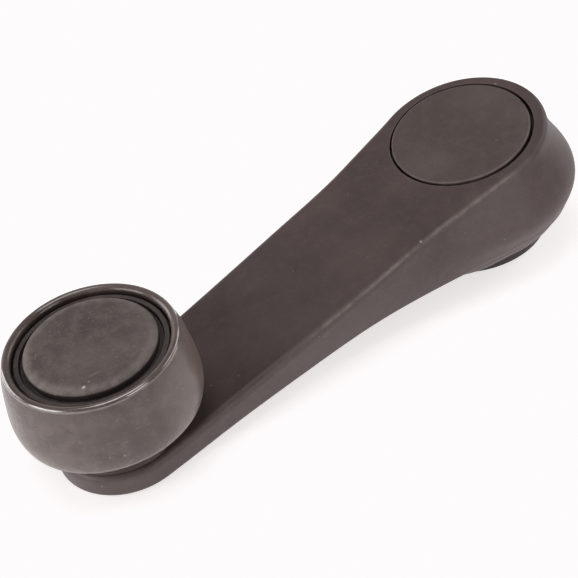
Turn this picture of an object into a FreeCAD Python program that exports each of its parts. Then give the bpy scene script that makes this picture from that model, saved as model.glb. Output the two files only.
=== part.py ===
"""Window winder handle: hub with a snap-in cap, sloping hollow arm, and a knob that spins on a riveted axle.

Origin: on the hub axis, where the shaft enters, level with the face that lies against the door trim.
+Z runs along the hub axis, away from the door. +X runs from the hub to the knob. Millimetres.
"""

import FreeCAD
import Part
import math
import os

V = FreeCAD.Vector

# ---- reach of cutting tools, beyond the whole object ----
FAR = 60.0
FAR_X = 130.0
SINK = 0.5                  # how far a rib, tube or prong reaches into the wall that it grows from

# ---- crank layout ----
CRANK_LENGTH = 100.0        # hub axis to knob axis
ARM_FLOOR = 8.0             # underside of the arm
ARM_EDGE = 1.0              # rounding of the arm's lower edge
SEAT_TOP = 13.6             # flat end of the arm, under the knob
TOP_AT_HUB = 25.3           # arm top on the hub axis
TOP_SLOPE = 0.163           # fall of the arm top per millimetre at the hub
TOP_BEND = 0.0004           # upward bend of the arm top
TOP_STATIONS = (-40.0, -15.0, 10.0, 35.0, 60.0, 86.0)
SEAT_STATIONS = (98.0, 112.0, FAR_X)
TOP_ARRIS = 1.5             # rounding along the top edge

# ---- hub outline: (height, radius) up the flared wall, and (radius, height) round the skirt below it ----
HUB_PROFILE = ((11.0, 24.6), (13.5, 25.4), (17.0, 24.3), (21.0, 21.4), (25.0, 19.2), (31.0, 18.3))
HUB_RADIUS_AT_FLOOR = 23.1
HUB_RADIUS_OVER_EDGE = 23.8
SKIRT_FOOT = 3.6
SKIRT = ((19.7, 18.4, 3.6), (21.2, 19.5, 5.1), (22.9, 20.5, 8.0))   # (radius, radius of its tail, height)
SKIRT_TAIL_X = 6.5          # the bowl below the arm's floor is drawn out towards the arm, round this centre
HUB_LEAN = 1.6              # the top of the hub sits this far behind its base
HUB_LEAN_START = 13.0
HUB_LEAN_END = 25.0
NECK_ANGLE = 76.0           # where the neck leaves the hub circle, from +X

# ---- arm half-widths along the neck, at the arm's floor and near its top ----
NECK_STATIONS = (24.0, 42.0, 62.0, 82.0)
NECK_LOW = (18.6, 15.5, 14.4, 14.1)
NECK_HIGH = (16.5, 15.7, 15.4, 14.8)
NECK_BULGE = (1.3, 0.4, 0.1, 0.0)    # extra half-width halfway up
NECK_HIGH_Z = 20.0
END_RADIUS = 14.4
END_X = 99.6

# ---- hollow of the hub and arm ----
WALL = 2.5
SKIN = 2.4
CAVITY_START = 27.5
SKIRT_BORE_RADIUS = 18.1
SKIRT_BORE_TOP = 9.4
BOSS_RADIUS = 15.5
HUB_CAVITY = ((20.6, 9.4), (22.6, 13.5), (20.4, 17.6))
RIB_THICKNESS = 1.6
HUB_RIB_COUNT = 8
RIB_STATIONS = (50.0, 62.0)
SCREW_STATIONS = (38.0, 76.0)

# ---- steel core and back cover ----
CORE_BOTTOM = 9.6
CORE_TOP = 11.6
CORE_HALF_WIDTH = 9.0
CORE_HUB_RADIUS = 14.5
CORE_GAP = 0.1
COVER_TOP = 9.4
COVER_GAP = 0.15
COVER_RIVET_HOLE = 5.7
BOSS_BOTTOM = 9.5
COVER_BOSS_RADIUS = 3.2
COVER_SCREW_RADIUS = 1.45
COVER_SCREW_HEAD_RADIUS = 2.8
COVER_SCREW_TIP = 13.0
COVER_SCREW_PILOT = (1.5, 13.4)     # radius and top of the hole in the arm
COVER_SCREW_HOLE = 1.55
COVER_SCREW_CORE = 1.2
COVER_SCREW_PITCH = 0.6
CROSS_HALF_LENGTH = 1.8
CROSS_HALF_WIDTH = 0.3
CROSS_DEPTH = 0.6
CORE_BOSS_HOLE = 3.5
PRESS_GAP = 0.02

# ---- hub cap ----
CAP_RADIUS = 15.9
CAP_GAP = 0.62
CAP_FLOOR_GAP = 0.05
CAP_SHIFT = (-0.2, -0.45)   # the cap sits off the middle of its recess, along X and Y
CAP_THICKNESS = 2.2
CAP_X = -0.9
CAP_EDGE = 0.4
CAP_BORE_RADIUS = 14.25
CAP_BORE_DEPTH = 8.0
CAP_PRONG_OUTER = 13.6
CAP_PRONG_INNER = 12.2
CAP_PRONG_DEPTH = 6.6
CAP_BEAD_RADIUS = 14.2
CAP_BEAD_DEPTHS = (5.0, 5.8, 6.6)
CAP_GROOVE_RADIUS = 14.85
CAP_GROOVE_DEPTHS = (4.8, 6.9)
CAP_SLOT = 7.0

# ---- shaft bush ----
SLEEVE_RADIUS = 9.0
BUSH_FLANGE_RADIUS = 12.5
BUSH_FLANGE_TOP = 13.6
BUSH_TOP = 15.2
BUSH_NOSE_RADIUS = 8.0
BUSH_SEAT_RADIUS = 10.5
BUSH_SEAT_FLAT = 9.3
WEB_TOP = 15.0              # floor of the well that the hub screw sits in
SCREW_WELL_RADIUS = 11.4
PILOT_RADIUS = 5.3
PILOT_TOP = 3.0
SOCKET_TOP = 12.4
TOOTH_COUNT = 24
TOOTH_ROOT_RADIUS = 5.2
TOOTH_TIP_RADIUS = 4.75
CIRCLIP_GROOVE_RADIUS = 8.2
CIRCLIP_GROOVE = (1.6, 2.6)
CIRCLIP_RADIUS = 10.8
CIRCLIP_MOUTH = 3.5
CLIP_SLACK = 0.05           # play of a clip in its groove, and of a screw head in its countersink

# ---- hub screw and its washers ----
SCREW_RADIUS = 3.0
SCREW_HOLE_RADIUS = 3.2
SCREW_ROOT_RADIUS = 2.6
SCREW_PITCH = 1.0
SCREW_TIP = 8.6
SCREW_HEAD_RADIUS = 5.0
SCREW_HEAD_HEIGHT = 3.0
SCREW_HEAD_EDGE = 0.6
SCREW_HEX_RADIUS = 2.9
SCREW_HEX_DEPTH = 1.9
FLAT_WASHER_BORE = 3.25
FLAT_WASHER_RADIUS = 6.4
FLAT_WASHER_TOP = 16.2
SPRING_WASHER_BORE = 3.15
SPRING_WASHER_RADIUS = 5.2
SPRING_WASHER_TOP = 17.7
SPRING_WASHER_SLIT = 0.7
SPRING_WASHER_TILT = 25.0

# ---- spacer ring ----
RING_RADIUS = 18.4
RING_STEP = 3.2
RING_NECK_RADIUS = 17.7
RING_TOP = 8.8
RING_WALL_INNER = 16.1
RING_EDGE = 0.5
RING_BORE_RADIUS = 9.06
RING_SLEEVE_RADIUS = 11.6
RING_WEB_BOTTOM = 2.7
RING_WEB_TOP = 4.5
RING_SLEEVE_TOP = 8.2
RING_POCKET_RADIUS = 12.4
FELT_OUTER = 16.0
FELT_INNER = 12.6
FELT_THICKNESS = 1.2
SLIP_WASHER = (9.2, 13.6, 8.3, 9.5)

# ---- knob ----
KNOB_BOTTOM = 20.4
KNOB_TOP = 36.6
KNOB_OUTLINE = ((18.85, 20.8), (19.45, 24.5), (19.05, 29.0), (18.45, 33.0), (17.5, 36.1))
KNOB_EDGE_RADIUS = 18.5
KNOB_RIM = ((17.33, 36.39), (16.83, 36.6), (16.3, 36.45), (15.95, 36.15), (15.8, 35.75))
KNOB_INNER = ((16.6, 20.4), (17.2, 24.5), (16.8, 29.0), (16.3, 31.4))
KNOB_RECESS_RADIUS = 15.8
KNOB_RECESS_FLOOR = 33.8
KNOB_WEB_BOTTOM = 31.4
TUBE_RADIUS = 9.2
TUBE_BORE_RADIUS = 6.0
TUBE_BOTTOM = 22.0
TUBE_POCKET_RADIUS = 7.9
KNOB_RIB_COUNT = 6
KNOB_RIB_BOTTOM = 24.0

# ---- knob cap ----
KNOB_CAP_RADIUS = 15.5
KNOB_CAP_SKIRT = 12.4
KNOB_CAP_STEP = 35.2
KNOB_CAP_EDGE = 0.25
KNOB_CAP_PLATE = 35.6
KNOB_DISC_RADIUS = 13.3
KNOB_DISC_SHOULDER = 35.9
KNOB_DISC_TOP = 36.9
KNOB_DISC_CROWN = ((13.05, 36.35), (12.35, 36.72), (10.8, 36.9))
KNOB_CAP_GROOVE = (14.1, 14.4, 0.8)

# ---- knob axle, bushes and washers ----
PEDESTAL_RADIUS = 11.5
PEDESTAL_TOP = 19.4
PEDESTAL_FOOT = 1.5
PEDESTAL_SINK = 0.05
PEDESTAL_CORE = (6.8, 9.4, 17.4)   # moulded-in ring pocket: inner and outer radius, top
PEDESTAL_WALL = 1.5
SHANK_RADIUS = 5.0
SHANK_HOLE = 5.05
JOURNAL_RADIUS = 4.0
AXLE_TOP = 35.1
AXLE_CHAMFER = 0.4
RIVET_RADIUS = 3.5
RIVET_HEAD_RADIUS = 5.0
RIVET_HEAD_BOTTOM = 8.5
RIVET_HEAD_DOME = ((3.8, 8.5), (4.7, 8.95))
CLIP_GROOVE_RADIUS = 3.2
CLIP_GROOVE = (33.35, 34.35)
CLIP_RADIUS = 5.6
CLIP_MOUTH = 1.6
CLIP_EAR = (5.2, 3.0, 1.4, 0.6)    # place along X and Y, radius, hole radius
THRUST_WASHER = (4.1, 8.0, 19.4, 20.2)
DISHED_WASHER = (4.3, 7.2, 20.22, 20.95)
DISHED_WASHER_SHEET = 0.35
BUSH_BORE_RADIUS = 4.04
BUSH_OUTER_RADIUS = 5.98
BUSH_FLANGE = 7.5
BUSH_FLANGE_THICKNESS = 1.0
BUSH_LOWER_END = 26.4
BUSH_UPPER_END = 27.2
AXLE_WASHER = (4.1, 7.0, 32.5, 33.3)


# ---------------------------------------------------------------- helpers

def disc(radius, bottom, top, x=0.0):
    """Upright cylinder between two heights."""
    return Part.makeCylinder(radius, top - bottom, V(x, 0, bottom))


def ring(inner, outer, bottom, top, x=0.0):
    """Flat ring with a round hole."""
    return disc(outer, bottom, top, x).cut(disc(inner, bottom - 1, top + 1, x))


def block(x0, x1, half_width, bottom, top):
    """Box that is centred on the arm's mid plane."""
    return Part.makeBox(x1 - x0, 2 * half_width, top - bottom, V(x0, -half_width, bottom))


def spline(points, start=None, end=None):
    """Smooth curve through points, with optional end directions."""
    curve = Part.BSplineCurve()
    if start is None:
        curve.interpolate(points)
    else:
        curve.interpolate(Points=points, InitialTangent=start, FinalTangent=end)
    return curve.toShape()


def turned(pieces, x=0.0):
    """Solid turned about the upright axis at x. A piece is ("line" or "spline", [(radius, height)])."""
    edges = []
    for kind, points in pieces:
        places = [V(x + r, 0, z) for r, z in points]
        if kind == "spline":
            edges.append(spline(places))
        else:
            edges += [Part.makeLine(a, b) for a, b in zip(places, places[1:])]
    face = Part.Face(Part.Wire(edges))
    return face.revolve(V(x, 0, 0), V(0, 0, 1), 360)


def polygon_turned(points, x=0.0):
    """Solid of revolution from a closed straight-sided profile."""
    return turned([("line", list(points) + [points[0]])], x)


def spokes(count, inner, outer, thickness, bottom, top, x=0.0):
    """Radial ribs round an upright axis."""
    blades = []
    for i in range(count):
        blade = Part.makeBox(outer - inner, thickness, top - bottom, V(inner, -thickness / 2, bottom))
        blade.rotate(V(0, 0, 0), V(0, 0, 1), 360.0 * (i + 0.5) / count)
        blade.translate(V(x, 0, 0))
        blades.append(blade)
    return blades


def rounded(shape, radius, wanted):
    """Rounds the circular edges that wanted(edge_radius, height) picks."""
    edges = []
    for edge in shape.Edges:
        if isinstance(edge.Curve, Part.Circle) and wanted(edge.Curve.Radius, edge.Curve.Center.z):
            edges.append(edge)
    return shape.makeFillet(radius, edges)


def near(value, target):
    """True within a hundredth of a millimetre."""
    return abs(value - target) < 0.01


def save(shape, node):
    """Writes one node. A shape may be a group of separate solids."""
    shape = shape.removeSplitter()
    solids = shape.Solids
    out = solids[0] if len(solids) == 1 else Part.makeCompound(solids)
    if not out.isValid():
        raise ValueError(node + " is not a valid solid")
    out.exportStep("parts/" + node + ".step")
    print(node, len(solids), "solids", round(out.Volume, 1), "mm3")


# ---------------------------------------------------------------- the arm's outer form

def top_z(x):
    return TOP_AT_HUB - TOP_SLOPE * x + TOP_BEND * x * x


def above_top(drop):
    """Everything above the arm's top line, with the line lowered by drop."""
    points = [V(x, -FAR, top_z(x) - drop) for x in TOP_STATIONS]
    points += [V(x, -FAR, SEAT_TOP - drop) for x in SEAT_STATIONS]
    a = points[-1]
    b = V(a.x, -FAR, FAR)
    c = V(points[0].x, -FAR, FAR)
    edges = [spline(points), Part.makeLine(a, b), Part.makeLine(b, c), Part.makeLine(c, points[0])]
    return Part.Face(Part.Wire(edges)).extrude(V(0, 2 * FAR, 0))


def outline(z, hub_radius, inset=0.0, hub_x=0.0):
    """Plan outline of the arm at one height: hub arc, neck, end arc, neck. Inset narrows the arm."""
    angle = math.radians(NECK_ANGLE)
    share = min(max((z - ARM_FLOOR) / (NECK_HIGH_Z - ARM_FLOOR), 0.0), 1.0)
    swell = 4 * share * (1 - share)
    widths = []
    for low, high, bulge in zip(NECK_LOW, NECK_HIGH, NECK_BULGE):
        widths.append(low + (high - low) * share + bulge * swell - inset)
    end_radius = END_RADIUS - inset
    start = V(math.sin(angle), -math.cos(angle), 0)
    points = [V(hub_x + hub_radius * math.cos(angle), hub_radius * math.sin(angle), z)]
    points += [V(x, width, z) for x, width in zip(NECK_STATIONS, widths)]
    points.append(V(END_X, end_radius, z))
    mirrored = [V(p.x, -p.y, p.z) for p in points]
    left = spline(points, start, V(1, 0, 0))
    right = spline(mirrored, V(start.x, -start.y, 0), V(1, 0, 0))
    hub = Part.Arc(points[0], V(hub_x - hub_radius, 0, z), mirrored[0]).toShape()
    end = Part.Arc(mirrored[-1], V(END_X + end_radius, 0, z), points[-1]).toShape()
    return Part.Wire([hub, right, end, left])


def lean(z):
    share = min(max((z - HUB_LEAN_START) / (HUB_LEAN_END - HUB_LEAN_START), 0.0), 1.0)
    return -HUB_LEAN * share


def edge_sections():
    """Outlines up the rounded lower edge, which follows a quarter circle."""
    sections = []
    for height in (0.0, 0.15 * ARM_EDGE, 0.5 * ARM_EDGE, ARM_EDGE):
        inset = ARM_EDGE - math.sqrt(ARM_EDGE ** 2 - (ARM_EDGE - height) ** 2)
        hub_radius = HUB_RADIUS_AT_FLOOR + (HUB_RADIUS_OVER_EDGE - HUB_RADIUS_AT_FLOOR) * height / ARM_EDGE
        sections.append(outline(ARM_FLOOR + height, hub_radius, inset))
    return sections


def teardrop(radius, tail_radius, tail_x, z):
    """Outline of two circles along X, joined by their tangent lines."""
    angle = math.acos((radius - tail_radius) / tail_x)
    cosine = math.cos(angle)
    sine = math.sin(angle)
    left = V(radius * cosine, radius * sine, z)
    tail_left = V(tail_x + tail_radius * cosine, tail_radius * sine, z)
    right = V(left.x, -left.y, z)
    tail_right = V(tail_left.x, -tail_left.y, z)
    head = Part.Arc(left, V(-radius, 0, z), right).toShape()
    tail = Part.Arc(tail_right, V(tail_x + tail_radius, 0, z), tail_left).toShape()
    return Part.Wire([head, Part.makeLine(right, tail_right), tail, Part.makeLine(tail_left, left)])


def hub_skirt():
    """Bowl-shaped lower part of the hub, below the arm's floor."""
    return Part.makeLoft([teardrop(radius, tail, SKIRT_TAIL_X, z) for radius, tail, z in SKIRT], True)


def arm_form():
    """Solid outer form of the arm and hub, with its top line cut and its top edge rounded."""
    low = edge_sections()
    high = [low[-1]] + [outline(z, radius, 0.0, lean(z)) for z, radius in HUB_PROFILE]
    form = Part.makeLoft(low, True).fuse(Part.makeLoft(high, True)).fuse(hub_skirt())
    form = form.cut(above_top(0.0)).removeSplitter()
    high_faces = [face for face in form.Faces if face.BoundBox.ZMin > SEAT_TOP - 1]
    top = max(high_faces, key=lambda face: face.Area)
    return form.makeFillet(TOP_ARRIS, top.OuterWire.Edges)


# ---------------------------------------------------------------- hub cap frame

def on_cap(shape):
    """Moves a shape built round +Z, with z = 0 at the cap's face, onto the sloping hub top."""
    shape.rotate(V(0, 0, 0), V(0, 1, 0), math.degrees(math.atan(TOP_SLOPE)))
    shape.translate(V(CAP_X, 0, top_z(CAP_X)))
    return shape


# ---------------------------------------------------------------- crank pieces

def core_plan(bottom, top, grow=0.0):
    """Strap outline: eye round the shaft bush, straight bar, round end at the axle."""
    bar = block(0, CRANK_LENGTH, CORE_HALF_WIDTH + grow, bottom, top)
    eye = disc(CORE_HUB_RADIUS + grow, bottom, top)
    tip = disc(CORE_HALF_WIDTH + grow, bottom, top, CRANK_LENGTH)
    return bar.fuse([eye, tip]).removeSplitter()


def bush_seat(bottom, top, grow=0.0):
    """Round seat with two flats, which keys the bush to the core."""
    size = BUSH_SEAT_RADIUS + grow
    return disc(size, bottom, top).common(block(-size, size, BUSH_SEAT_FLAT + grow, bottom, top))


def arm_prism(inset, start, bottom, top):
    """Upright prism inside the arm's walls, from start to beyond the arm's end."""
    plan = outline((ARM_FLOOR + NECK_HIGH_Z) / 2, HUB_RADIUS_AT_FLOOR, inset)
    plan.translate(V(0, 0, bottom - plan.BoundBox.ZMin))
    prism = Part.Face(plan).extrude(V(0, 0, top - bottom))
    return prism.common(block(start, FAR_X, FAR, bottom, top))


def arm_cavity():
    """Hollow of the arm, open below, with cross ribs and the two screw bosses left standing."""
    hollow = arm_prism(WALL, CAVITY_START, ARM_FLOOR - 1, FAR).cut(above_top(SKIN))
    half = RIB_THICKNESS / 2
    keep = [block(x - half, x + half, FAR, CORE_TOP + CORE_GAP, FAR) for x in RIB_STATIONS]
    keep += [disc(COVER_BOSS_RADIUS, BOSS_BOTTOM, FAR, x) for x in SCREW_STATIONS]
    keep.append(disc(PEDESTAL_CORE[1] + PEDESTAL_WALL, CORE_TOP + CORE_GAP, FAR, CRANK_LENGTH))
    return hollow.cut(keep)


def hub_cavity():
    """Ring-shaped hollow between the hub's boss and its flared wall, with radial ribs left standing."""
    (low_r, low_z), (mid_r, mid_z), (high_r, high_z) = HUB_CAVITY
    wall = [(low_r, low_z), (mid_r, mid_z), (high_r, high_z)]
    hollow = polygon_turned([(BOSS_RADIUS, low_z)] + wall + [(BOSS_RADIUS, high_z)])
    ribs = spokes(HUB_RIB_COUNT, BOSS_RADIUS - 1, mid_r + 1, RIB_THICKNESS, CORE_TOP + CORE_GAP, high_z + 1)
    return hollow.cut(ribs)


def arm_shell():
    """Moulded arm, hub and knob pedestal in one piece."""
    pedestal = disc(PEDESTAL_RADIUS, SEAT_TOP - 1, PEDESTAL_TOP, CRANK_LENGTH)
    foot_base = V(CRANK_LENGTH, 0, SEAT_TOP - PEDESTAL_SINK)
    foot = Part.makeCone(PEDESTAL_RADIUS + PEDESTAL_FOOT, PEDESTAL_RADIUS, PEDESTAL_FOOT, foot_base)
    body = arm_form().fuse([pedestal, foot])
    cuts = [arm_cavity(), hub_cavity()]
    cuts.append(disc(SKIRT_BORE_RADIUS, SKIRT_FOOT - 1, SKIRT_BORE_TOP))
    cuts.append(disc(BOSS_RADIUS, SKIRT_FOOT, CORE_TOP + CORE_GAP))
    cuts.append(core_plan(CORE_BOTTOM - CORE_GAP, CORE_TOP + CORE_GAP, CORE_GAP))
    cuts.append(disc(BUSH_FLANGE_RADIUS + CORE_GAP, CORE_TOP, BUSH_FLANGE_TOP + CORE_GAP))
    cuts.append(disc(BUSH_NOSE_RADIUS + CORE_GAP, BUSH_FLANGE_TOP, FAR))
    cuts.append(disc(SCREW_WELL_RADIUS, WEB_TOP, FAR))
    cuts.append(on_cap(disc(CAP_RADIUS + CAP_GAP, -CAP_THICKNESS - CAP_FLOOR_GAP, FAR)))
    cuts.append(on_cap(disc(CAP_BORE_RADIUS, -CAP_BORE_DEPTH, 0)))
    cuts.append(on_cap(disc(CAP_GROOVE_RADIUS, -CAP_GROOVE_DEPTHS[1], -CAP_GROOVE_DEPTHS[0])))
    cuts.append(disc(SHANK_HOLE, CORE_TOP - 1, PEDESTAL_TOP + 1, CRANK_LENGTH))
    inner, outer, height = PEDESTAL_CORE
    cuts.append(ring(inner, outer, CORE_TOP, height, CRANK_LENGTH))
    pilot_radius, pilot_top = COVER_SCREW_PILOT
    cuts += [disc(pilot_radius, 0, pilot_top, x) for x in SCREW_STATIONS]
    return body.cut(cuts)


def arm_core():
    """Pressed steel strap from the shaft bush to the knob axle."""
    strap = core_plan(CORE_BOTTOM, CORE_TOP)
    holes = [bush_seat(CORE_BOTTOM - 1, CORE_TOP + 1, PRESS_GAP)]
    holes.append(disc(RIVET_RADIUS + PRESS_GAP, CORE_BOTTOM - 1, CORE_TOP + 1, CRANK_LENGTH))
    holes += [disc(CORE_BOSS_HOLE, CORE_BOTTOM - 1, CORE_TOP + 1, x) for x in SCREW_STATIONS]
    return strap.cut(holes)


def back_cover():
    """Plate that closes the underside of the arm."""
    plate = arm_prism(WALL + COVER_GAP, CAVITY_START + COVER_GAP, ARM_FLOOR, COVER_TOP)
    holes = [disc(COVER_RIVET_HOLE, 0, FAR, CRANK_LENGTH)]
    for x in SCREW_STATIONS:
        holes.append(disc(COVER_SCREW_HOLE, 0, FAR, x))
        holes.append(countersink(x, CLIP_SLACK))
    return plate.cut(holes)


def countersink(x, grow):
    """Cone under a cover screw's head."""
    wide = COVER_SCREW_HEAD_RADIUS + grow
    narrow = COVER_SCREW_RADIUS + grow
    return Part.makeCone(wide, narrow, wide - narrow, V(x, 0, ARM_FLOOR))


def threaded(radius, root, pitch, bottom, top, x=0.0):
    """Shank with ring grooves at the thread's pitch, and a chamfered tip at the bottom."""
    points = [(0, top), (0, bottom), (root, bottom), (root, bottom + 0.2)]
    z = bottom + 0.3
    while z + pitch < top:
        points += [(radius, z + pitch / 4), (radius, z + pitch / 2), (root, z + pitch)]
        z += pitch
    points += [(radius, z + 0.2), (radius, top)]
    return polygon_turned(points, x)


def cover_screws():
    """Two countersunk screws that hold the back cover, heads down."""
    screws = []
    for x in SCREW_STATIONS:
        length = COVER_SCREW_TIP - ARM_FLOOR - 1.0
        shank = threaded(COVER_SCREW_RADIUS, COVER_SCREW_CORE, COVER_SCREW_PITCH, 0.0, length)
        shank.rotate(V(0, 0, 0), V(1, 0, 0), 180)
        shank.translate(V(x, 0, COVER_SCREW_TIP))
        screw = shank.fuse(countersink(x, 0.0))
        for along, across in ((CROSS_HALF_LENGTH, CROSS_HALF_WIDTH), (CROSS_HALF_WIDTH, CROSS_HALF_LENGTH)):
            screw = screw.cut(block(x - along, x + along, across, ARM_FLOOR - 1, ARM_FLOOR + CROSS_DEPTH))
        screws.append(screw)
    return Part.makeCompound(screws)


def shaft_bush():
    """Metal insert with a toothed socket for the shaft and a floor that the hub screw pulls on."""
    body = disc(SLEEVE_RADIUS, 0, CORE_BOTTOM)
    body = body.fuse([
        bush_seat(CORE_BOTTOM, CORE_TOP),
        disc(BUSH_FLANGE_RADIUS, CORE_TOP, BUSH_FLANGE_TOP),
        disc(BUSH_NOSE_RADIUS, BUSH_FLANGE_TOP, BUSH_TOP),
    ])
    points = []
    for i in range(2 * TOOTH_COUNT + 1):
        radius = TOOTH_ROOT_RADIUS if i % 2 else TOOTH_TIP_RADIUS
        angle = math.pi * i / TOOTH_COUNT
        points.append(V(radius * math.cos(angle), radius * math.sin(angle), 0))
    socket = Part.Face(Part.makePolygon(points)).extrude(V(0, 0, SOCKET_TOP))
    groove = ring(CIRCLIP_GROOVE_RADIUS, SLEEVE_RADIUS + 1, *CIRCLIP_GROOVE)
    cuts = [socket, disc(PILOT_RADIUS, -1, PILOT_TOP), disc(SCREW_HOLE_RADIUS, 0, BUSH_TOP + 1), groove]
    return body.cut(cuts).removeSplitter()


def hub_screw():
    """Socket-head screw whose tip reaches into the shaft socket."""
    shank = threaded(SCREW_RADIUS, SCREW_ROOT_RADIUS, SCREW_PITCH, SCREW_TIP, SPRING_WASHER_TOP)
    head_top = SPRING_WASHER_TOP + SCREW_HEAD_HEIGHT
    head = disc(SCREW_HEAD_RADIUS, SPRING_WASHER_TOP, head_top)
    head = rounded(head, SCREW_HEAD_EDGE, lambda r, z: near(z, head_top))
    corners = []
    for i in range(7):
        angle = math.radians(60 * i)
        corners.append(V(SCREW_HEX_RADIUS * math.cos(angle), SCREW_HEX_RADIUS * math.sin(angle), head_top))
    socket = Part.Face(Part.makePolygon(corners)).extrude(V(0, 0, -SCREW_HEX_DEPTH))
    return shank.fuse(head).cut(socket)


def hub_spring_washer():
    """Split ring under the screw head."""
    washer = ring(SPRING_WASHER_BORE, SPRING_WASHER_RADIUS, FLAT_WASHER_TOP, SPRING_WASHER_TOP)
    half = SPRING_WASHER_SLIT / 2
    slit = block(0, 2 * SPRING_WASHER_RADIUS, half, -SPRING_WASHER_RADIUS, SPRING_WASHER_RADIUS)
    slit.rotate(V(0, 0, 0), V(1, 0, 0), SPRING_WASHER_TILT)
    slit.translate(V(0, 0, (FLAT_WASHER_TOP + SPRING_WASHER_TOP) / 2))
    return washer.cut(slit)


def hub_flat_washer():
    return ring(FLAT_WASHER_BORE, FLAT_WASHER_RADIUS, BUSH_TOP, FLAT_WASHER_TOP)


def hub_cap():
    """Round cover with four springy prongs that snap into the hub's bore."""
    plate = disc(CAP_RADIUS, -CAP_THICKNESS, 0)
    plate = rounded(plate, CAP_EDGE, lambda r, z: near(z, 0))
    first, middle, last = [-depth for depth in CAP_BEAD_DEPTHS]
    prongs = polygon_turned([
        (CAP_PRONG_INNER, -CAP_THICKNESS + SINK),
        (CAP_PRONG_INNER, -CAP_PRONG_DEPTH),
        (CAP_PRONG_OUTER, last),
        (CAP_BEAD_RADIUS, middle),
        (CAP_PRONG_OUTER, first),
        (CAP_PRONG_OUTER, -CAP_THICKNESS + SINK),
    ])
    far = CAP_BEAD_RADIUS + 2
    for angle in (0, 90):
        slot = block(-far, far, CAP_SLOT, -CAP_PRONG_DEPTH - 1, -CAP_THICKNESS)
        slot.rotate(V(0, 0, 0), V(0, 0, 1), 45 + angle)
        prongs = prongs.cut(slot)
    cap = on_cap(plate.fuse(prongs))
    shift_x, shift_y = CAP_SHIFT
    cap.translate(V(shift_x, shift_y, -shift_x * TOP_SLOPE))
    return cap


def bush_circlip():
    """Open ring in the bush's groove, which keeps the spacer ring on."""
    bottom, top = CIRCLIP_GROOVE
    clip = ring(CIRCLIP_GROOVE_RADIUS + PRESS_GAP, CIRCLIP_RADIUS, bottom + CLIP_SLACK, top - CLIP_SLACK)
    return clip.cut(block(-FAR, 0, CIRCLIP_MOUTH, 0, FAR))


# ---------------------------------------------------------------- spacer pieces

def spacer_ring():
    """Collar between the hub and the door trim. It turns on the bush's sleeve."""
    return polygon_turned([
        (RING_RADIUS - RING_EDGE, 0),
        (RING_RADIUS, RING_EDGE),
        (RING_RADIUS, RING_STEP),
        (RING_NECK_RADIUS, RING_STEP),
        (RING_NECK_RADIUS, RING_TOP),
        (RING_WALL_INNER, RING_TOP),
        (RING_WALL_INNER, RING_WEB_TOP),
        (RING_SLEEVE_RADIUS, RING_WEB_TOP),
        (RING_SLEEVE_RADIUS, RING_SLEEVE_TOP),
        (RING_BORE_RADIUS, RING_SLEEVE_TOP),
        (RING_BORE_RADIUS, RING_WEB_BOTTOM),
        (RING_POCKET_RADIUS, RING_WEB_BOTTOM),
        (RING_POCKET_RADIUS, FELT_THICKNESS),
        (RING_WALL_INNER, FELT_THICKNESS),
        (RING_WALL_INNER, 0),
    ])


def felt_ring():
    return ring(FELT_INNER, FELT_OUTER, 0, FELT_THICKNESS)


def slip_washer():
    return ring(*SLIP_WASHER)


# ---------------------------------------------------------------- knob pieces

def knob_shell():
    """Barrel knob, open below, with a tube for its bushes and a recess for its cap."""
    x = CRANK_LENGTH
    outer = list(KNOB_OUTLINE)
    inner = list(KNOB_INNER)
    barrel = turned([
        ("line", [inner[0], (KNOB_EDGE_RADIUS, KNOB_BOTTOM), outer[0]]),
        ("spline", outer),
        ("spline", [outer[-1]] + list(KNOB_RIM)),
        ("line", [
            KNOB_RIM[-1],
            (KNOB_RECESS_RADIUS, KNOB_RECESS_FLOOR),
            (TUBE_POCKET_RADIUS, KNOB_RECESS_FLOOR),
            (TUBE_POCKET_RADIUS, KNOB_WEB_BOTTOM),
            inner[-1],
        ]),
        ("spline", inner[::-1]),
    ], x)
    tube = ring(TUBE_BORE_RADIUS, TUBE_RADIUS, TUBE_BOTTOM, KNOB_WEB_BOTTOM + SINK, x)
    tube = tube.cut(disc(TUBE_POCKET_RADIUS, KNOB_WEB_BOTTOM, KNOB_TOP, x))
    start = TUBE_RADIUS - SINK
    reach = inner[-1][0] + SINK
    ribs = spokes(KNOB_RIB_COUNT, start, reach, RIB_THICKNESS, KNOB_RIB_BOTTOM, KNOB_WEB_BOTTOM + SINK, x)
    return barrel.fuse([tube] + ribs)


def knob_cap():
    """Snap-in disc on top of the knob: a low flange, a groove and a raised, rounded centre."""
    x = CRANK_LENGTH
    groove_in, groove_out, groove_depth = KNOB_CAP_GROOVE
    shoulder = (KNOB_DISC_RADIUS, KNOB_DISC_SHOULDER)
    return turned([
        ("line", [
            (0, KNOB_DISC_TOP),
            (0, KNOB_CAP_PLATE),
            (KNOB_CAP_SKIRT, KNOB_CAP_PLATE),
            (KNOB_CAP_SKIRT, KNOB_RECESS_FLOOR),
            (KNOB_CAP_RADIUS, KNOB_RECESS_FLOOR),
            (KNOB_CAP_RADIUS, KNOB_CAP_STEP - KNOB_CAP_EDGE),
            (KNOB_CAP_RADIUS - KNOB_CAP_EDGE, KNOB_CAP_STEP),
            (groove_out, KNOB_CAP_STEP),
            (groove_in, KNOB_CAP_STEP - groove_depth),
            (KNOB_DISC_RADIUS, KNOB_CAP_STEP - groove_depth),
            shoulder,
        ]),
        ("spline", [shoulder] + list(KNOB_DISC_CROWN)),
        ("line", [KNOB_DISC_CROWN[-1], (0, KNOB_DISC_TOP)]),
    ], x)


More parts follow.
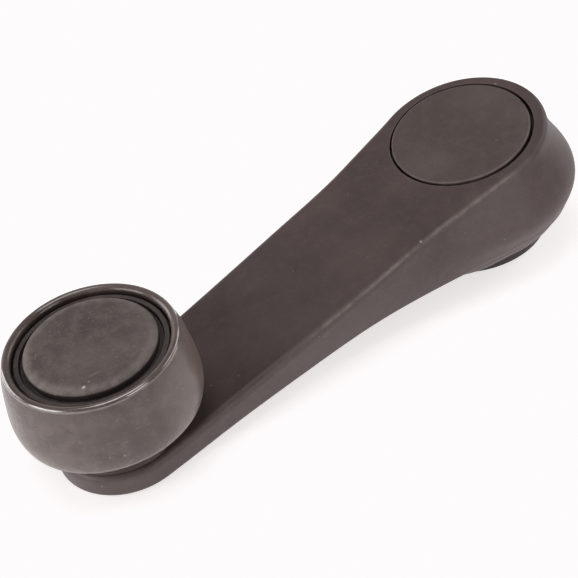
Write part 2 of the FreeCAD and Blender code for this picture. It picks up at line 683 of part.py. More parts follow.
def knob_axle():
    """Shouldered steel pin, riveted through the core, with a clip groove near its top."""
    groove_bottom, groove_top = CLIP_GROOVE
    return polygon_turned([
        (0, RIVET_HEAD_BOTTOM),
        *RIVET_HEAD_DOME,
        (RIVET_HEAD_RADIUS, CORE_BOTTOM - PRESS_GAP),
        (RIVET_RADIUS, CORE_BOTTOM - PRESS_GAP),
        (RIVET_RADIUS, CORE_TOP + PRESS_GAP),
        (SHANK_RADIUS, CORE_TOP + PRESS_GAP),
        (SHANK_RADIUS, PEDESTAL_TOP),
        (JOURNAL_RADIUS, PEDESTAL_TOP),
        (JOURNAL_RADIUS, groove_bottom),
        (CLIP_GROOVE_RADIUS, groove_bottom),
        (CLIP_GROOVE_RADIUS, groove_top),
        (JOURNAL_RADIUS, groove_top),
        (JOURNAL_RADIUS, AXLE_TOP - AXLE_CHAMFER),
        (JOURNAL_RADIUS - AXLE_CHAMFER, AXLE_TOP),
        (0, AXLE_TOP),
    ], CRANK_LENGTH)


def thrust_washer():
    return ring(*THRUST_WASHER, CRANK_LENGTH)


def dished_washer():
    """Shallow cone of spring steel that takes up the knob's end play."""
    inner, outer, bottom, top = DISHED_WASHER
    sheet = DISHED_WASHER_SHEET
    points = [(outer, bottom), (outer, bottom + sheet), (inner, top), (inner, top - sheet)]
    return polygon_turned(points, CRANK_LENGTH)


def flanged_bush(flange_bottom, body_end):
    """Plain bush with a flange. The body runs from the flange to body_end."""
    flange_top = flange_bottom + BUSH_FLANGE_THICKNESS
    bottom = min(flange_bottom, body_end)
    top = max(flange_top, body_end)
    body = disc(BUSH_OUTER_RADIUS, bottom, top, CRANK_LENGTH)
    flange = disc(BUSH_FLANGE, flange_bottom, flange_top, CRANK_LENGTH)
    return body.fuse(flange).cut(disc(BUSH_BORE_RADIUS, bottom - 1, top + 1, CRANK_LENGTH))


def bush_lower():
    return flanged_bush(TUBE_BOTTOM - BUSH_FLANGE_THICKNESS, BUSH_LOWER_END)


def bush_upper():
    return flanged_bush(KNOB_WEB_BOTTOM, BUSH_UPPER_END)


def axle_washer():
    return ring(*AXLE_WASHER, CRANK_LENGTH)


def axle_clip():
    """Open clip in the axle's groove, with two ears."""
    bottom, top = CLIP_GROOVE
    low = bottom + CLIP_SLACK
    high = top - CLIP_SLACK
    x, y, ear_radius, hole_radius = CLIP_EAR
    clip = ring(CLIP_GROOVE_RADIUS + PRESS_GAP, CLIP_RADIUS, low, high)
    for side in (1, -1):
        ear = ring(hole_radius, ear_radius, low, high, x)
        ear.translate(V(0, side * y, 0))
        clip = clip.fuse(ear)
    clip = clip.cut([disc(CLIP_GROOVE_RADIUS + PRESS_GAP, 0, FAR), block(0, FAR, CLIP_MOUTH, 0, FAR)])
    clip.translate(V(CRANK_LENGTH, 0, 0))
    return clip


NODES = (
    arm_shell, arm_core, back_cover, cover_screws, shaft_bush, hub_screw, hub_spring_washer,
    hub_flat_washer, hub_cap, bush_circlip, spacer_ring, felt_ring, slip_washer, knob_shell, knob_cap,
    knob_axle, thrust_washer, dished_washer, bush_lower, bush_upper, axle_washer, axle_clip,
)

os.makedirs("parts", exist_ok=True)
for make in NODES:
    save(make(), make.__name__)
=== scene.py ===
"""Looks for the window winder handle: procedural plastics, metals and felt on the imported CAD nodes, a
pale floor that the handle rests on, soft light, and the camera. Blender works in metres in the CAD
frame, where the hub's axis is Z and the knob lies along +X. Sizes given in millimetres are multiplied
by MM.
"""

import bpy
import math
from mathutils import Matrix, Vector


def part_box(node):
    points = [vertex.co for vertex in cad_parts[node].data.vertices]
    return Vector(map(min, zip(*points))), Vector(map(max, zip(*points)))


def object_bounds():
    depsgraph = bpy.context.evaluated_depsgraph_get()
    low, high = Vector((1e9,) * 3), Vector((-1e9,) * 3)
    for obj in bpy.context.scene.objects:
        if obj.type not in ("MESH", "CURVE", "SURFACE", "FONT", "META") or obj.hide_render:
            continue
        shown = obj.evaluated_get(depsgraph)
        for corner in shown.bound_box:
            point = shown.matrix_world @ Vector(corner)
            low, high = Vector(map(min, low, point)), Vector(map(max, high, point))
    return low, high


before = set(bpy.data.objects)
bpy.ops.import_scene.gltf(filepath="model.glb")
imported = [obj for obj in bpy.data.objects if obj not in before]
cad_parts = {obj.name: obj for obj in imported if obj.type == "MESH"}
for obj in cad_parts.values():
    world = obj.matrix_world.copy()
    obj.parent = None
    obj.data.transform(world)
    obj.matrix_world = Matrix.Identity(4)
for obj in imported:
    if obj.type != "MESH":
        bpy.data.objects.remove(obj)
cad_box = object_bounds()
scene = bpy.context.scene
MM = 0.001


# ---------------------------------------------------------------- driving values

# camera: seen from the knob's side, above; the handle is turned a little in the picture
VIEW_AZIMUTH = 147.3
VIEW_ELEVATION = 40.76
VIEW_ROLL = -12.9
VIEW_DISTANCE = 300.1 * MM
VIEW_AIM = (cad_box[0] + cad_box[1]) / 2 + Vector((5.64, -0.9, -2.45)) * MM
LENS = 87.2
SENSOR = 36.0

# light
WARM = (1.0, 0.965, 0.94)
SKY_SIDES = (0.12, 0.05, 0.50, 0.46)    # behind the camera, to its right, ahead of it, to its left
SKY_OVERHEAD = 0.10
SKY_SEEN = 1.05                         # brightness of the surroundings as the camera sees them
WHITE_TOP = (0.982, 0.965, 0.973)       # where the tone of red, green and blue tops out

# floor
FLOOR_HALF = 1.0
FLOOR_GLOW = 0.68
FLOOR_GLOW_FAR = 1.05
FLOOR_FADE = (0.25, 0.70)               # distances from the hub between which the glow grows

# the arm and the two caps, as the CAD has them
ARM_TOP = (25.3, -0.163, 0.0004)        # the arm's top line, in mm: height on the hub's axis, slope, bend
DISC_SHARE = 0.86                       # the raised disc's part of the knob cap's radius
CAP_LEAN = 0.23                         # the hub cap's top is this many mm nearer the knob than its middle

# wear, scuffs, painted highlights and painted shade, linear colours
PALE_DUST = (0.30, 0.28, 0.26)
# scuffs, and the painted highlights on rims, the knob's foot and the arm's top edge
SCUFF_AND_HIGHLIGHT = (0.215, 0.188, 0.176)
# painted shade in gaps and grooves and on the knob cap's flange, and the knob's painted shadow on the arm
PAINTED_SHADE = (0.014, 0.009, 0.008)
WHITE_MARK = (0.62, 0.60, 0.56)

# scale of the plastic's unevenness and wear, in mm; a scratch run is its turn about X, Y, Z and its length
BROAD = 18.0
MIDDLE = 2.8
RUB = 5.0
DUST_PATCH = 7.0
SMALL_SPECKS = 1.1
LARGE_SPECKS = 3.0
SCRATCH_WIDTH = 0.16
SCRATCH_RUNS = (((0.1, 0.4, 0.7), 3.5), ((0.5, -0.2, -0.6), 2.6), ((-0.3, 0.3, 1.9), 4.2))
WORN_EDGE = 0.45
ARRIS_FADE_IN = 12.0
ARRIS_FADE_OUT = 25.0


# ---------------------------------------------------------------- node graph helper

class Graph:
    """A node tree, built by short calls. A value may be a number, a colour or another node's output."""

    def __init__(self, tree):
        self.tree = tree
        tree.nodes.clear()

    def put(self, socket, value):
        if isinstance(value, bpy.types.NodeSocket):
            self.tree.links.new(value, socket)
        elif isinstance(value, (tuple, list)) and len(value) == 3 and socket.type == "RGBA":
            socket.default_value = (*value, 1.0)
        else:
            socket.default_value = value

    def node(self, kind, settings=None, **inputs):
        made = self.tree.nodes.new(kind)
        for name, value in (settings or {}).items():
            setattr(made, name, value)
        for name, value in inputs.items():
            self.put(made.inputs[name.replace("_", " ")], value)
        return made

    def math(self, operation, a, b=0.0, clamp=False):
        made = self.node("ShaderNodeMath", {"operation": operation, "use_clamp": clamp})
        self.put(made.inputs[0], a)
        self.put(made.inputs[1], b)
        return made.outputs[0]

    def times(self, first, *others):
        """Product of masks and numbers."""
        for other in others:
            first = self.math("MULTIPLY", first, other)
        return first

    def vector(self, operation, a, b=(0.0, 0.0, 0.0), scale=None):
        made = self.node("ShaderNodeVectorMath", {"operation": operation})
        self.put(made.inputs[0], a)
        self.put(made.inputs[1], b)
        if scale is not None:
            self.put(made.inputs["Scale"], scale)
        return made.outputs["Value" if operation in ("DOT_PRODUCT", "LENGTH", "DISTANCE") else "Vector"]

    def axis(self, vector, name):
        """The X, Y or Z of a vector."""
        return self.node("ShaderNodeSeparateXYZ", Vector=vector).outputs[name]

    def ramp(self, value, low, high, to_low=0.0, to_high=1.0):
        """Smooth step from low to high."""
        made = self.node("ShaderNodeMapRange", {"interpolation_type": "SMOOTHSTEP"})
        for i, v in enumerate((value, low, high, to_low, to_high)):
            self.put(made.inputs[i], v)
        return made.outputs[0]

    def mix(self, share, a, b):
        made = self.node("ShaderNodeMix", {"data_type": "RGBA"})
        self.put(made.inputs[0], share)
        self.put(made.inputs[6], a)
        self.put(made.inputs[7], b)
        return made.outputs[2]

    def place(self):
        return self.node("ShaderNodeTexCoord").outputs["Object"]

    def facing(self):
        return self.node("ShaderNodeNewGeometry").outputs["Normal"]

    def stretch(self, vector, scale, turn=(0.0, 0.0, 0.0)):
        return self.node("ShaderNodeMapping", Vector=vector, Scale=scale, Rotation=turn).outputs[0]

    def noise(self, vector, size, detail=4.0, rough=0.55):
        """Noise with blobs about size metres wide, from 0 to 1."""
        look = {"Scale": 1.0 / size, "Detail": detail, "Roughness": rough}
        return self.node("ShaderNodeTexNoise", Vector=vector, **look).outputs[0]

    def cells(self, vector, size):
        """Cells about size metres wide: distance to a cell's point, in cell widths, and its colour."""
        made = self.node("ShaderNodeTexVoronoi", Vector=vector, Scale=1.0 / size)
        return made.outputs["Distance"], made.outputs["Color"]

    def bump(self, height, depth, strength=1.0):
        """Surface direction of a relief that is depth mm high."""
        return self.node("ShaderNodeBump", Strength=strength, Distance=depth * MM, Height=height).outputs[0]

    def surface(self, colour, rough, normal, **more):
        shell = "ShaderNodeBsdfPrincipled"
        return self.node(shell, Base_Color=colour, Roughness=rough, Normal=normal, **more)

    def either(self, share, a, b):
        """Shader a where share is 0, and b where it is 1."""
        made = self.node("ShaderNodeMixShader")
        for socket, value in zip(made.inputs, (share, a.outputs[0], b.outputs[0])):
            self.put(socket, value)
        return made

    def output(self, shader, kind="ShaderNodeOutputMaterial"):
        self.put(self.node(kind).inputs[0], shader.outputs[0])


def new_material(name):
    material = bpy.data.materials.new(name)
    material.use_nodes = True
    return material, Graph(material.node_tree)


def scaled(colour, factor):
    return tuple(min(1.0, c * factor) for c in colour)


# ---------------------------------------------------------------- places, read from the frame

def hub_to_knob():
    """Distance from the hub's axis to the knob's."""
    low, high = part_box("knob_shell")
    return (low.x + high.x) / 2


def on_arm(along, across):
    """Place on the arm's top: along is 0 over the hub's axis and 1 over the knob's, across is -1 to 1."""
    x = along * hub_to_knob() / MM
    start, slope, bend = ARM_TOP
    return Vector((x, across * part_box("arm_shell")[1].y / MM, start + slope * x + bend * x * x)) * MM


def on_disc(along, across):
    """Place on the knob's raised disc, in shares of the disc's radius from its axis."""
    low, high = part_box("knob_cap")
    radius = DISC_SHARE * (high.x - low.x) / 2
    return Vector(((low.x + high.x) / 2 + along * radius, (low.y + high.y) / 2 + across * radius, high.z))


def heights(node, *down):
    """Heights in mm that are so far down from a node's top."""
    return tuple(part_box(node)[1].z / MM - d for d in down)


def rim(node, inner, outer, low, high, lean=0.0):
    """Band round a node's upright axis, in mm: inner and outer are measured in from the node's edge, low
    and high down from its top. lean is how far the band's middle is from the node's, along X."""
    lowest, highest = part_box(node)
    middle = (lowest + highest) / 2 / MM
    radius = (highest.y - lowest.y) / 2 / MM
    return (middle.x + lean, middle.y, radius - inner, radius - outer, *heights(node, low, high))


# ---------------------------------------------------------------- masks, from 0 to 1

def height_band(g, place, low, high):
    """Rises from 0 to 1 between two heights in mm."""
    return g.ramp(g.axis(place, "Z"), low * MM, high * MM)


def rim_band(g, place, centre_x, centre_y, inner, outer, low, high):
    """Rises between two radii round an upright axis, and between two heights, all in mm."""
    from_axis = g.vector("SUBTRACT", place, (centre_x * MM, centre_y * MM, 0.0))
    flat = g.vector("MULTIPLY", from_axis, (1.0, 1.0, 0.0))
    outside = g.ramp(g.vector("LENGTH", flat), inner * MM, outer * MM)
    return g.times(outside, height_band(g, place, low, high))


def specks(g, place, size, radius, share):
    """Small specks: share of the cells hold one, of up to radius in cell widths."""
    distance, colour = g.cells(place, size)
    parts = g.node("ShaderNodeSeparateColor", Color=colour)
    chosen = g.math("LESS_THAN", parts.outputs[0], share)
    reach = g.math("ADD", g.times(parts.outputs[1], radius * 0.7), radius * 0.3)
    inside = g.ramp(g.math("SUBTRACT", reach, distance), 0.0, radius * 0.4)
    return g.times(chosen, inside)


def scratches(g, place, length, width, turn):
    """Short straight scratches that run one way."""
    stretched = g.stretch(place, (1.0, length / width, length / width), turn)
    return specks(g, stretched, length, 0.30, 0.10)


def stroke(g, place, start, end, radius):
    """One straight mark between two places, radius in mm."""
    run = end - start
    from_start = g.vector("SUBTRACT", place, tuple(start))
    along = g.vector("DOT_PRODUCT", from_start, tuple(run / run.length_squared))
    nearest = g.vector("SCALE", tuple(run), scale=g.math("MULTIPLY", along, 1.0, True))
    away = g.vector("DISTANCE", from_start, nearest)
    return g.ramp(away, radius * MM, 0.4 * radius * MM)


def edge_mask(g, radius):
    """1 on sharp outer edges and 0 on flat faces."""
    bevel = g.node("ShaderNodeBevel", {"samples": 6}, Radius=radius)
    return g.ramp(g.vector("DOT_PRODUCT", bevel.outputs[0], g.facing()), 0.995, 0.80)


def crevice_mask(g, reach):
    """1 deep in gaps and grooves, 0 on open faces."""
    open_sky = g.node("ShaderNodeAmbientOcclusion", {"samples": 8}, Distance=reach)
    return g.ramp(open_sky.outputs["AO"], 0.80, 0.20)


def arris_line(g, place, shallow, deep, start, end):
    """A line from shallow to deep mm below the arm's top line, between two distances along X."""
    x = g.axis(place, "X")
    height, slope, bend = ARM_TOP
    bent = g.times(x, x, bend / MM)
    top = g.math("ADD", g.math("ADD", g.times(x, slope), bent), height * MM)
    down = g.math("SUBTRACT", top, g.axis(place, "Z"))
    line = g.times(g.ramp(down, 0.0, shallow * MM), g.ramp(down, deep * MM, shallow * MM))
    begin = g.ramp(x, start, start + ARRIS_FADE_IN * MM)
    finish = g.ramp(x, end, end - ARRIS_FADE_OUT * MM)
    return g.times(line, begin, finish)


def knob_shadow_on_arm(g, place):
    """Painted shadow of the knob: a dark film on the arm's top faces, thicker towards the knob."""
    near_knob = g.ramp(g.axis(place, "X"), 0.55 * hub_to_knob(), 0.90 * hub_to_knob())
    return g.times(near_knob, g.ramp(g.axis(g.facing(), "Z"), 0.90, 0.98), 0.40)


def flange_shade(g, place):
    """Painted shade on the knob cap's flange, in the groove below its raised disc."""
    return g.times(height_band(g, place, *heights("knob_cap", 0.8, 1.2)), 0.28)


# ---------------------------------------------------------------- plastic

def uneven_colour(g, colour, broad, middle, fine, blotch, mottle):
    """The plastic's own colour, uneven at three sizes."""
    darker = scaled(colour, 1 - 0.5 * blotch)
    paler = scaled(colour, 1 + 0.6 * blotch)
    body = g.mix(g.ramp(broad, 0.35, 0.65), darker, paler)
    body = g.mix(g.times(g.ramp(middle, 0.42, 0.70), 0.9 * blotch), body, scaled(colour, 1.9))
    return g.mix(g.times(g.ramp(fine, 0.50, 0.80), mottle), body, scaled(colour, 2.0))


def handling_marks(g, place, rub, dust, cloud, scratched):
    """Mask of cloudy scuffs and of short scratches that cross each other."""
    scuff = g.times(g.ramp(rub, 0.55, 0.80), cloud)
    for turn, length in SCRATCH_RUNS:
        scratch = scratches(g, place, length * MM, SCRATCH_WIDTH * MM, turn)
        scuff = g.math("MAXIMUM", scuff, g.times(scratch, scratched))
    return g.math("MULTIPLY", scuff, dust, True)


def dust_specks(g, place, dust):
    """Mask of fine dust, in patches, and of larger single specks."""
    patch = g.ramp(g.noise(place, DUST_PATCH * MM, 3.0), 0.35, 0.65)
    small = g.times(specks(g, place, SMALL_SPECKS * MM, 0.24, min(0.9, 0.22 * dust)), patch)
    large = specks(g, place, LARGE_SPECKS * MM, 0.10, min(0.9, 0.16 * dust))
    return g.math("MAXIMUM", g.times(small, 0.4), g.times(large, 0.75))


def moulded_plastic(
    name, colour, roughness=0.5, grain=0.35, depth=0.012, blotch=0.3, mottle=0.30, dust=0.5, cloud=0.45,
    scratched=0.7, wear=0.5, gap=2.0, gap_shade=0.9, rim_highlight_strength=0.5, marks=(), painted_shade_mask=None, rim_highlight=None, foot_highlight=None,
    arris_highlight=None, polish=None, edge=None
):
    """Dark moulded plastic. Colour is linear RGB. Grain and depth are the grain's width and height in mm.

    How much there is of each: blotch and mottle, coarse and fine uneven colour; dust, of pale dust and
    scuffs, with cloud for the cloudy scuffs and scratched for the scratches; wear, paler worn edges;
    gap_shade, painted shade that darkens gaps of up to gap mm; rim_highlight_strength, of the painted
    highlight round the rim.

    Where it is: marks are single marks (start, end, radius in mm, strength); painted_shade_mask is a
    function that makes the mask of a painted shade; rim_highlight is a paler band painted as a highlight
    and edge one rubbed to a shine, both as rim gives them; foot_highlight is the heights between which
    the foot is painted paler as a highlight; arris_highlight is a paler line painted as a highlight, as
    arris_line takes it; polish is the heights between which the surface gets glossy."""
    material, g = new_material(name)
    place = g.place()
    broad = g.noise(place, BROAD * MM, 3.0)
    middle = g.noise(place, MIDDLE * MM, 5.0, 0.65)
    fine = g.noise(place, grain * MM, 3.0, 0.6)
    rub = g.noise(g.stretch(place, (1.0, 3.0, 3.0), (0.3, 0.2, 0.6)), RUB * MM, 6.0, 0.75)
    pits, _ = g.cells(place, grain * 1.7 * MM)
    scuff = handling_marks(g, place, rub, dust, cloud, scratched)
    speck = dust_specks(g, place, dust)

    # colour, from the plastic itself to what lies on it, with painted highlights and painted shade
    body = uneven_colour(g, colour, broad, middle, fine, blotch, mottle)
    body = g.mix(scuff, body, SCUFF_AND_HIGHLIGHT)
    for start, end, radius, strength in marks:
        body = g.mix(g.times(stroke(g, place, start, end, radius), strength), body, WHITE_MARK)
    # painted highlight: a paler band round a cap's rim, patchy
    if rim_highlight is not None:
        band = rim_band(g, place, *rim_highlight)
        body = g.mix(g.times(band, g.ramp(middle, 0.25, 0.65, 0.10, rim_highlight_strength)), body, SCUFF_AND_HIGHLIGHT)
    # painted highlight: a paler band at the foot, patchy
    if foot_highlight is not None:
        band = height_band(g, place, *foot_highlight)
        body = g.mix(g.times(band, g.ramp(rub, 0.25, 0.65, 0.3, 0.9)), body, SCUFF_AND_HIGHLIGHT)
    # painted highlight: a paler line just under the arm's top edge
    if arris_highlight is not None:
        line = arris_line(g, place, *arris_highlight)
        body = g.mix(g.times(line, g.ramp(middle, 0.30, 0.65, 0.25, 0.85)), body, SCUFF_AND_HIGHLIGHT)
    # painted shade: a dark film where the given mask puts it
    if painted_shade_mask is not None:
        body = g.mix(painted_shade_mask(g, place), body, PAINTED_SHADE)
    body = g.mix(speck, body, PALE_DUST)
    # painted shade: darker in gaps and grooves, where less light reaches
    body = g.mix(g.times(crevice_mask(g, gap * MM), gap_shade), body, PAINTED_SHADE)
    rubbed = g.times(edge_mask(g, WORN_EDGE * MM), g.ramp(middle, 0.30, 0.60, 0.35, 1.0))
    body = g.mix(g.times(rubbed, wear), body, tuple(c * 2.2 + 0.05 for c in colour))

    # roughness: dust and scuffs are duller, rubbed places shinier
    rough = g.ramp(broad, 0.3, 0.7, roughness - 0.04, roughness + 0.04)
    rough = g.math("ADD", rough, g.times(g.math("MAXIMUM", speck, scuff), 0.25))
    rough = g.math("SUBTRACT", rough, g.times(rubbed, 0.12 * wear), True)
    if polish is not None:
        rough = g.times(rough, g.ramp(height_band(g, place, *polish), 0.0, 1.0, 1.0, 0.45))

    # relief: moulded grain, and specks that stand up
    height = g.math("ADD", g.times(fine, 0.7), g.times(pits, 0.5))
    height = g.math("ADD", height, g.times(speck, 1.5))
    shader = g.surface(body, rough, g.bump(height, depth), IOR=1.47)
    if edge is not None:
        shine = g.times(rim_band(g, place, *edge), g.ramp(rub, 0.35, 0.55, 0.4, 1.0))
        for socket, value in (("Coat Weight", shine), ("Coat IOR", 2.1), ("Coat Roughness", 0.13)):
            g.put(shader.inputs[socket], value)
    g.output(shader)
    return material


def arm_marks():
    """Pale specks and faint scuffs on the hub and arm."""
    return (
        (on_arm(0.01, 0.80), on_arm(0.02, 0.80), 0.50, 0.22),
        (on_arm(0.28, 0.60), on_arm(0.28, 0.61), 0.35, 0.40),
        (on_arm(0.37, 0.60), on_arm(0.37, 0.61), 0.30, 0.40),
        (on_arm(-0.17, -0.16), on_arm(-0.17, -0.15), 0.30, 0.25),
        (on_arm(0.74, -0.42), on_arm(0.77, -0.12), 0.30, 0.05),
    )


def disc_marks():
    """A chip of white paint and two faint scuffs on the knob's disc."""
    return (
        (on_disc(0.57, 0.69), on_disc(0.58, 0.69), 0.45, 1.0),
        (on_disc(0.40, 0.58), on_disc(0.25, 0.62), 0.22, 0.14),
        (on_disc(0.65, -0.42), on_disc(0.72, -0.35), 0.20, 0.10),
    )


def plastics():
    return (
        moulded_plastic(
            "arm_plastic", (0.078, 0.0575, 0.0555), roughness=0.48, blotch=0.22, dust=0.7, cloud=0.12,
            # the dark film near the knob is the knob's painted shadow
            scratched=0.25, gap_shade=0.6, marks=arm_marks(), painted_shade_mask=knob_shadow_on_arm,
            # a paler line painted as a highlight along the arm's top edge
            arris_highlight=(0.25, 0.75, -0.06 * hub_to_knob(), 0.75 * hub_to_knob()),
        ),
        moulded_plastic(
            "cap_plastic", (0.088, 0.070, 0.066), roughness=0.52, blotch=0.2, dust=0.3, wear=0.8, gap_shade=0.6,
            # a paler band painted as a highlight round the cap's edge
            rim_highlight=rim("hub_cap", 0.55, 0.30, 8.0, 7.0, CAP_LEAN),
        ),
        moulded_plastic(
            "knob_plastic", (0.105, 0.083, 0.076), roughness=0.28, grain=0.3, depth=0.004, blotch=0.4,
            # the paler foot is a painted highlight
            dust=1.9, cloud=0.35, scratched=0.30, wear=0.7, gap=3.5, foot_highlight=heights("knob_shell", 14.9, 15.7),
            polish=heights("knob_shell", 1.2, 0.6), edge=rim("knob_shell", 3.45, 2.45, 0.9, 0.6),
        ),
        moulded_plastic(
            "knob_cap_plastic", (0.090, 0.076, 0.071), roughness=0.58, grain=0.55, depth=0.03, blotch=0.5,
            mottle=0.55, dust=4.0, cloud=0.14, scratched=0.06, gap=3.5, rim_highlight_strength=0.7, marks=disc_marks(),
            # the dark film on the flange is painted shade, and the pale band near the disc's edge a painted
            # highlight
            painted_shade_mask=flange_shade, rim_highlight=rim("knob_cap", 4.6, 3.0, 1.2, 0.8),
        ),
        moulded_plastic("collar_plastic", (0.021, 0.013, 0.011), dust=0.3),
        moulded_plastic("cover_plastic", (0.040, 0.029, 0.026), roughness=0.6, dust=0.8),
    )


# ---------------------------------------------------------------- metal, nylon and felt

def metal(name, colour, roughness, marks=0.5):
    """Plated or bare metal with fine turning marks round Z, stains and worn edges."""
    material, g = new_material(name)
    place = g.place()
    turned = g.noise(g.stretch(place, (0.6, 0.6, 9.0)), 1.2 * MM, 4.0)
    cloud = g.noise(place, 3.0 * MM, 5.0)
    body = g.mix(g.times(g.ramp(cloud, 0.45, 0.75), 0.3), colour, scaled(colour, 0.45))
    body = g.mix(g.times(edge_mask(g, 0.25 * MM), 0.5), body, scaled(colour, 1.5))
    rough = g.ramp(cloud, 0.3, 0.7, roughness - 0.08, roughness + 0.12)
    height = g.math("ADD", turned, g.times(cloud, 0.6))
    g.output(g.surface(body, rough, g.bump(height, 0.02, marks), Metallic=1.0))
    return material


def nylon():
    """Milky off-white plastic of bushes and washers, with a little grease."""
    material, g = new_material("nylon")
    place = g.place()
    cloud = g.noise(place, 2.5 * MM, 4.0)
    fine = g.noise(place, 0.3 * MM, 3.0)
    body = g.mix(g.ramp(cloud, 0.4, 0.7), (0.62, 0.59, 0.52), (0.48, 0.44, 0.36))
    greased = g.ramp(cloud, 0.35, 0.7, 0.5, 0.3)
    shader = g.surface(body, greased, g.bump(fine, 0.01, 0.6), Subsurface_Weight=0.15, Subsurface_Scale=1.0)
    g.put(shader.inputs["Subsurface Radius"], (0.6 * MM, 0.5 * MM, 0.4 * MM))
    g.output(shader)
    return material


def felt():
    """Grey pressed felt with short tangled fibres."""
    material, g = new_material("felt")
    place = g.place()
    fibre = g.noise(g.stretch(place, (1.0, 6.0, 3.0), (0.0, 0.0, 0.8)), 0.5 * MM, 6.0, 0.7)
    other = g.noise(g.stretch(place, (6.0, 1.0, 3.0), (0.0, 0.0, 0.3)), 0.5 * MM, 6.0, 0.7)
    tangle = g.math("MAXIMUM", fibre, other)
    body = g.mix(g.ramp(tangle, 0.4, 0.75), (0.05, 0.048, 0.045), (0.15, 0.145, 0.135))
    g.output(g.surface(body, 0.95, g.bump(tangle, 0.12), Sheen_Weight=0.4))
    return material


def metals():
    return (
        metal("core_steel", (0.42, 0.40, 0.37), 0.42),
        metal("bush_metal", (0.50, 0.47, 0.42), 0.40, marks=0.7),
        metal("screw_steel", (0.50, 0.49, 0.46), 0.30),
        metal("spring_steel", (0.20, 0.19, 0.18), 0.35),
    )


def slot_name(material):
    """A material's name without the number that Blender adds to a name that is taken."""
    return material.name.split(".")[0]


def dress(finishes):
    """Puts each finish on the CAD nodes that the record gives that slot."""
    by_slot = {slot_name(finish): finish for finish in finishes}
    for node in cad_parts.values():
        for place in node.material_slots:
            place.material = by_slot[slot_name(place.material)]


# ---------------------------------------------------------------- floor, light and camera

def resting_plane():
    """The flat surface that the handle lies on touches the collar and the arm's far end. Gives its slope
    along X and its place on the collar."""
    ring = [v.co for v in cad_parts["spacer_ring"].data.vertices]
    knob_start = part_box("knob_shell")[0].x
    arm = [v.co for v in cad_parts["arm_shell"].data.vertices if v.co.x > knob_start]
    slope = 0.0
    for _ in range(3):
        foot = min(ring, key=lambda p: p.z - slope * p.x)
        slope = min((p.z - foot.z) / (p.x - foot.x) for p in arm)
    return slope, foot


def floor_material():
    """Matt white card that is seen from above only, so that it doesn't hide the underside."""
    material, g = new_material("floor_card")
    place = g.place()
    tone = g.mix(g.noise(place, 60 * MM, 3.0), (0.60, 0.61, 0.62), (0.62, 0.63, 0.64))
    from_hub = g.vector("LENGTH", g.vector("MULTIPLY", place, (1.0, 1.0, 0.0)))
    glow = g.ramp(from_hub, *FLOOR_FADE, FLOOR_GLOW, FLOOR_GLOW_FAR)
    card = g.node("ShaderNodeBsdfPrincipled", Base_Color=tone, Roughness=1.0, Specular_IOR_Level=0.0)
    g.put(card.inputs["Emission Color"], (1.0, 0.98, 0.965))
    g.put(card.inputs["Emission Strength"], glow)
    below = g.node("ShaderNodeNewGeometry").outputs["Backfacing"]
    g.output(g.either(below, card, g.node("ShaderNodeBsdfTransparent")))
    return material


def make_floor():
    slope, foot = resting_plane()
    half = FLOOR_HALF
    outline = ((-half, -half), (half, -half), (half, half), (-half, half))
    corners = [(x, y, foot.z + slope * (x - foot.x)) for x, y in outline]
    mesh = bpy.data.meshes.new("floor")
    mesh.from_pydata(corners, [], [(0, 1, 2, 3)])
    mesh.materials.append(floor_material())
    floor = bpy.data.objects.new("floor", mesh)
    scene.collection.objects.link(floor)


def level_axes():
    """Level directions to the camera's right and from the object back to the camera."""
    a = math.radians(VIEW_AZIMUTH)
    return Vector((math.cos(a), math.sin(a), 0)), Vector((math.sin(a), -math.cos(a), 0))


def view_axes():
    """Right, up and back directions of the camera."""
    e = math.radians(VIEW_ELEVATION)
    right, level_back = level_axes()
    back = level_back * math.cos(e) + Vector((0, 0, math.sin(e)))
    turn = Matrix.Rotation(math.radians(VIEW_ROLL), 3, back)
    return turn @ right, turn @ back.cross(right), back


def make_world():
    """White surroundings whose brightness differs by side. The camera itself sees plain white."""
    world = bpy.data.worlds.new("surroundings")
    world.use_nodes = True
    scene.world = world
    g = Graph(world.node_tree)
    looking = g.node("ShaderNodeTexCoord").outputs["Generated"]
    level = g.vector("NORMALIZE", g.vector("MULTIPLY", looking, (1.0, 1.0, 0.0)))
    high = g.ramp(g.axis(looking, "Z"), 0.3, 0.7)
    right, back = level_axes()
    strength = 0.0
    for side, brightness in zip((back, right, -back, -right), SKY_SIDES):
        turned_to = g.math("MAXIMUM", g.vector("DOT_PRODUCT", level, tuple(side)), 0.0)
        strength = g.math("ADD", g.times(turned_to, turned_to, brightness), strength)
    strength = g.times(strength, g.math("SUBTRACT", 1.0, high))
    strength = g.math("ADD", strength, g.times(high, SKY_OVERHEAD))
    light = g.node("ShaderNodeBackground", Color=WARM, Strength=strength)
    seen = g.node("ShaderNodeBackground", Color=(1.0, 0.995, 0.99), Strength=SKY_SEEN)
    by_camera = g.node("ShaderNodeLightPath").outputs["Is Camera Ray"]
    g.output(g.either(by_camera, light, seen), "ShaderNodeOutputWorld")


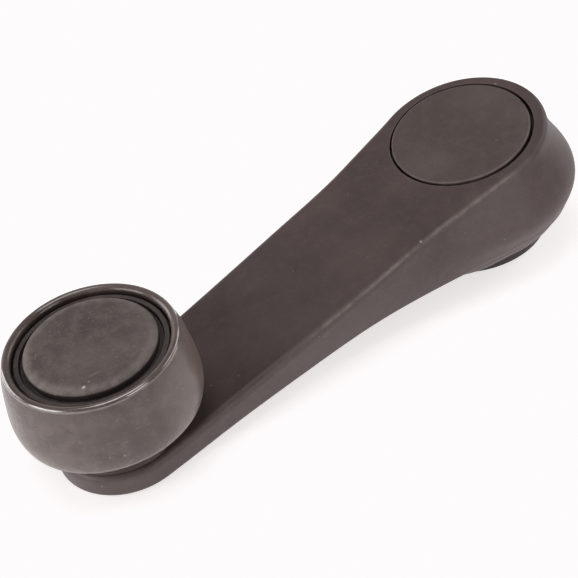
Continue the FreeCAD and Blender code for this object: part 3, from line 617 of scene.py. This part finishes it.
def softbox(name, side, lift, away, distance, size, power):
    """Square lamp placed by how far it is to the camera's right, up, and away from the camera."""
    right, back = level_axes()
    middle = (cad_box[0] + cad_box[1]) / 2
    direction = (right * side + Vector((0, 0, lift)) - back * away).normalized()
    lamp = bpy.data.lights.new(name, "AREA")
    lamp.shape = "SQUARE"
    lamp.size = size
    lamp.energy = power
    lamp.color = WARM
    placed = bpy.data.objects.new(name, lamp)
    placed.location = middle + direction * distance
    placed.rotation_mode = "QUATERNION"
    placed.rotation_quaternion = direction.to_track_quat("Z", "Y")
    scene.collection.objects.link(placed)


def make_lamps():
    softbox("lamp_left_front", -1.0, 0.45, -0.45, 1.0, 0.6, 5.0)
    softbox("lamp_right_front", 0.65, 0.45, -0.75, 1.0, 0.45, 2.4)
    softbox("lamp_right", 1.0, 0.60, 0.1, 1.0, 0.35, 1.0)
    softbox("lamp_left_back", -1.0, 0.40, 0.5, 1.0, 0.5, 2.4)
    softbox("lamp_right_back", 1.0, 0.40, 0.6, 1.0, 0.5, 1.6)
    softbox("lamp_overhead", 0.0, 1.0, 0.0, 0.9, 0.5, 2.3)


def make_camera():
    right, up, back = view_axes()
    data = bpy.data.cameras.new("camera")
    data.lens = LENS
    data.sensor_width = SENSOR
    data.clip_start = 1 * MM
    data.clip_end = 10.0
    camera = bpy.data.objects.new("camera", data)
    turn = Matrix((right, up, back)).transposed()
    camera.matrix_world = Matrix.Translation(VIEW_AIM + back * VIEW_DISTANCE) @ turn.to_4x4()
    scene.collection.objects.link(camera)
    bpy.context.scene.camera = camera


def set_tone():
    """Plain tone, with white held just under the brightest value and a touch warm, as on off-white card."""
    view = scene.view_settings
    view.view_transform = "Standard"
    view.use_curve_mapping = True
    view.curve_mapping.extend = "HORIZONTAL"
    for curve, top in zip(view.curve_mapping.curves, WHITE_TOP):
        curve.points[-1].location = (1.0, top)
    view.curve_mapping.update()


dress((*plastics(), *metals(), nylon(), felt()))
make_floor()
make_world()
make_lamps()
make_camera()
set_tone()
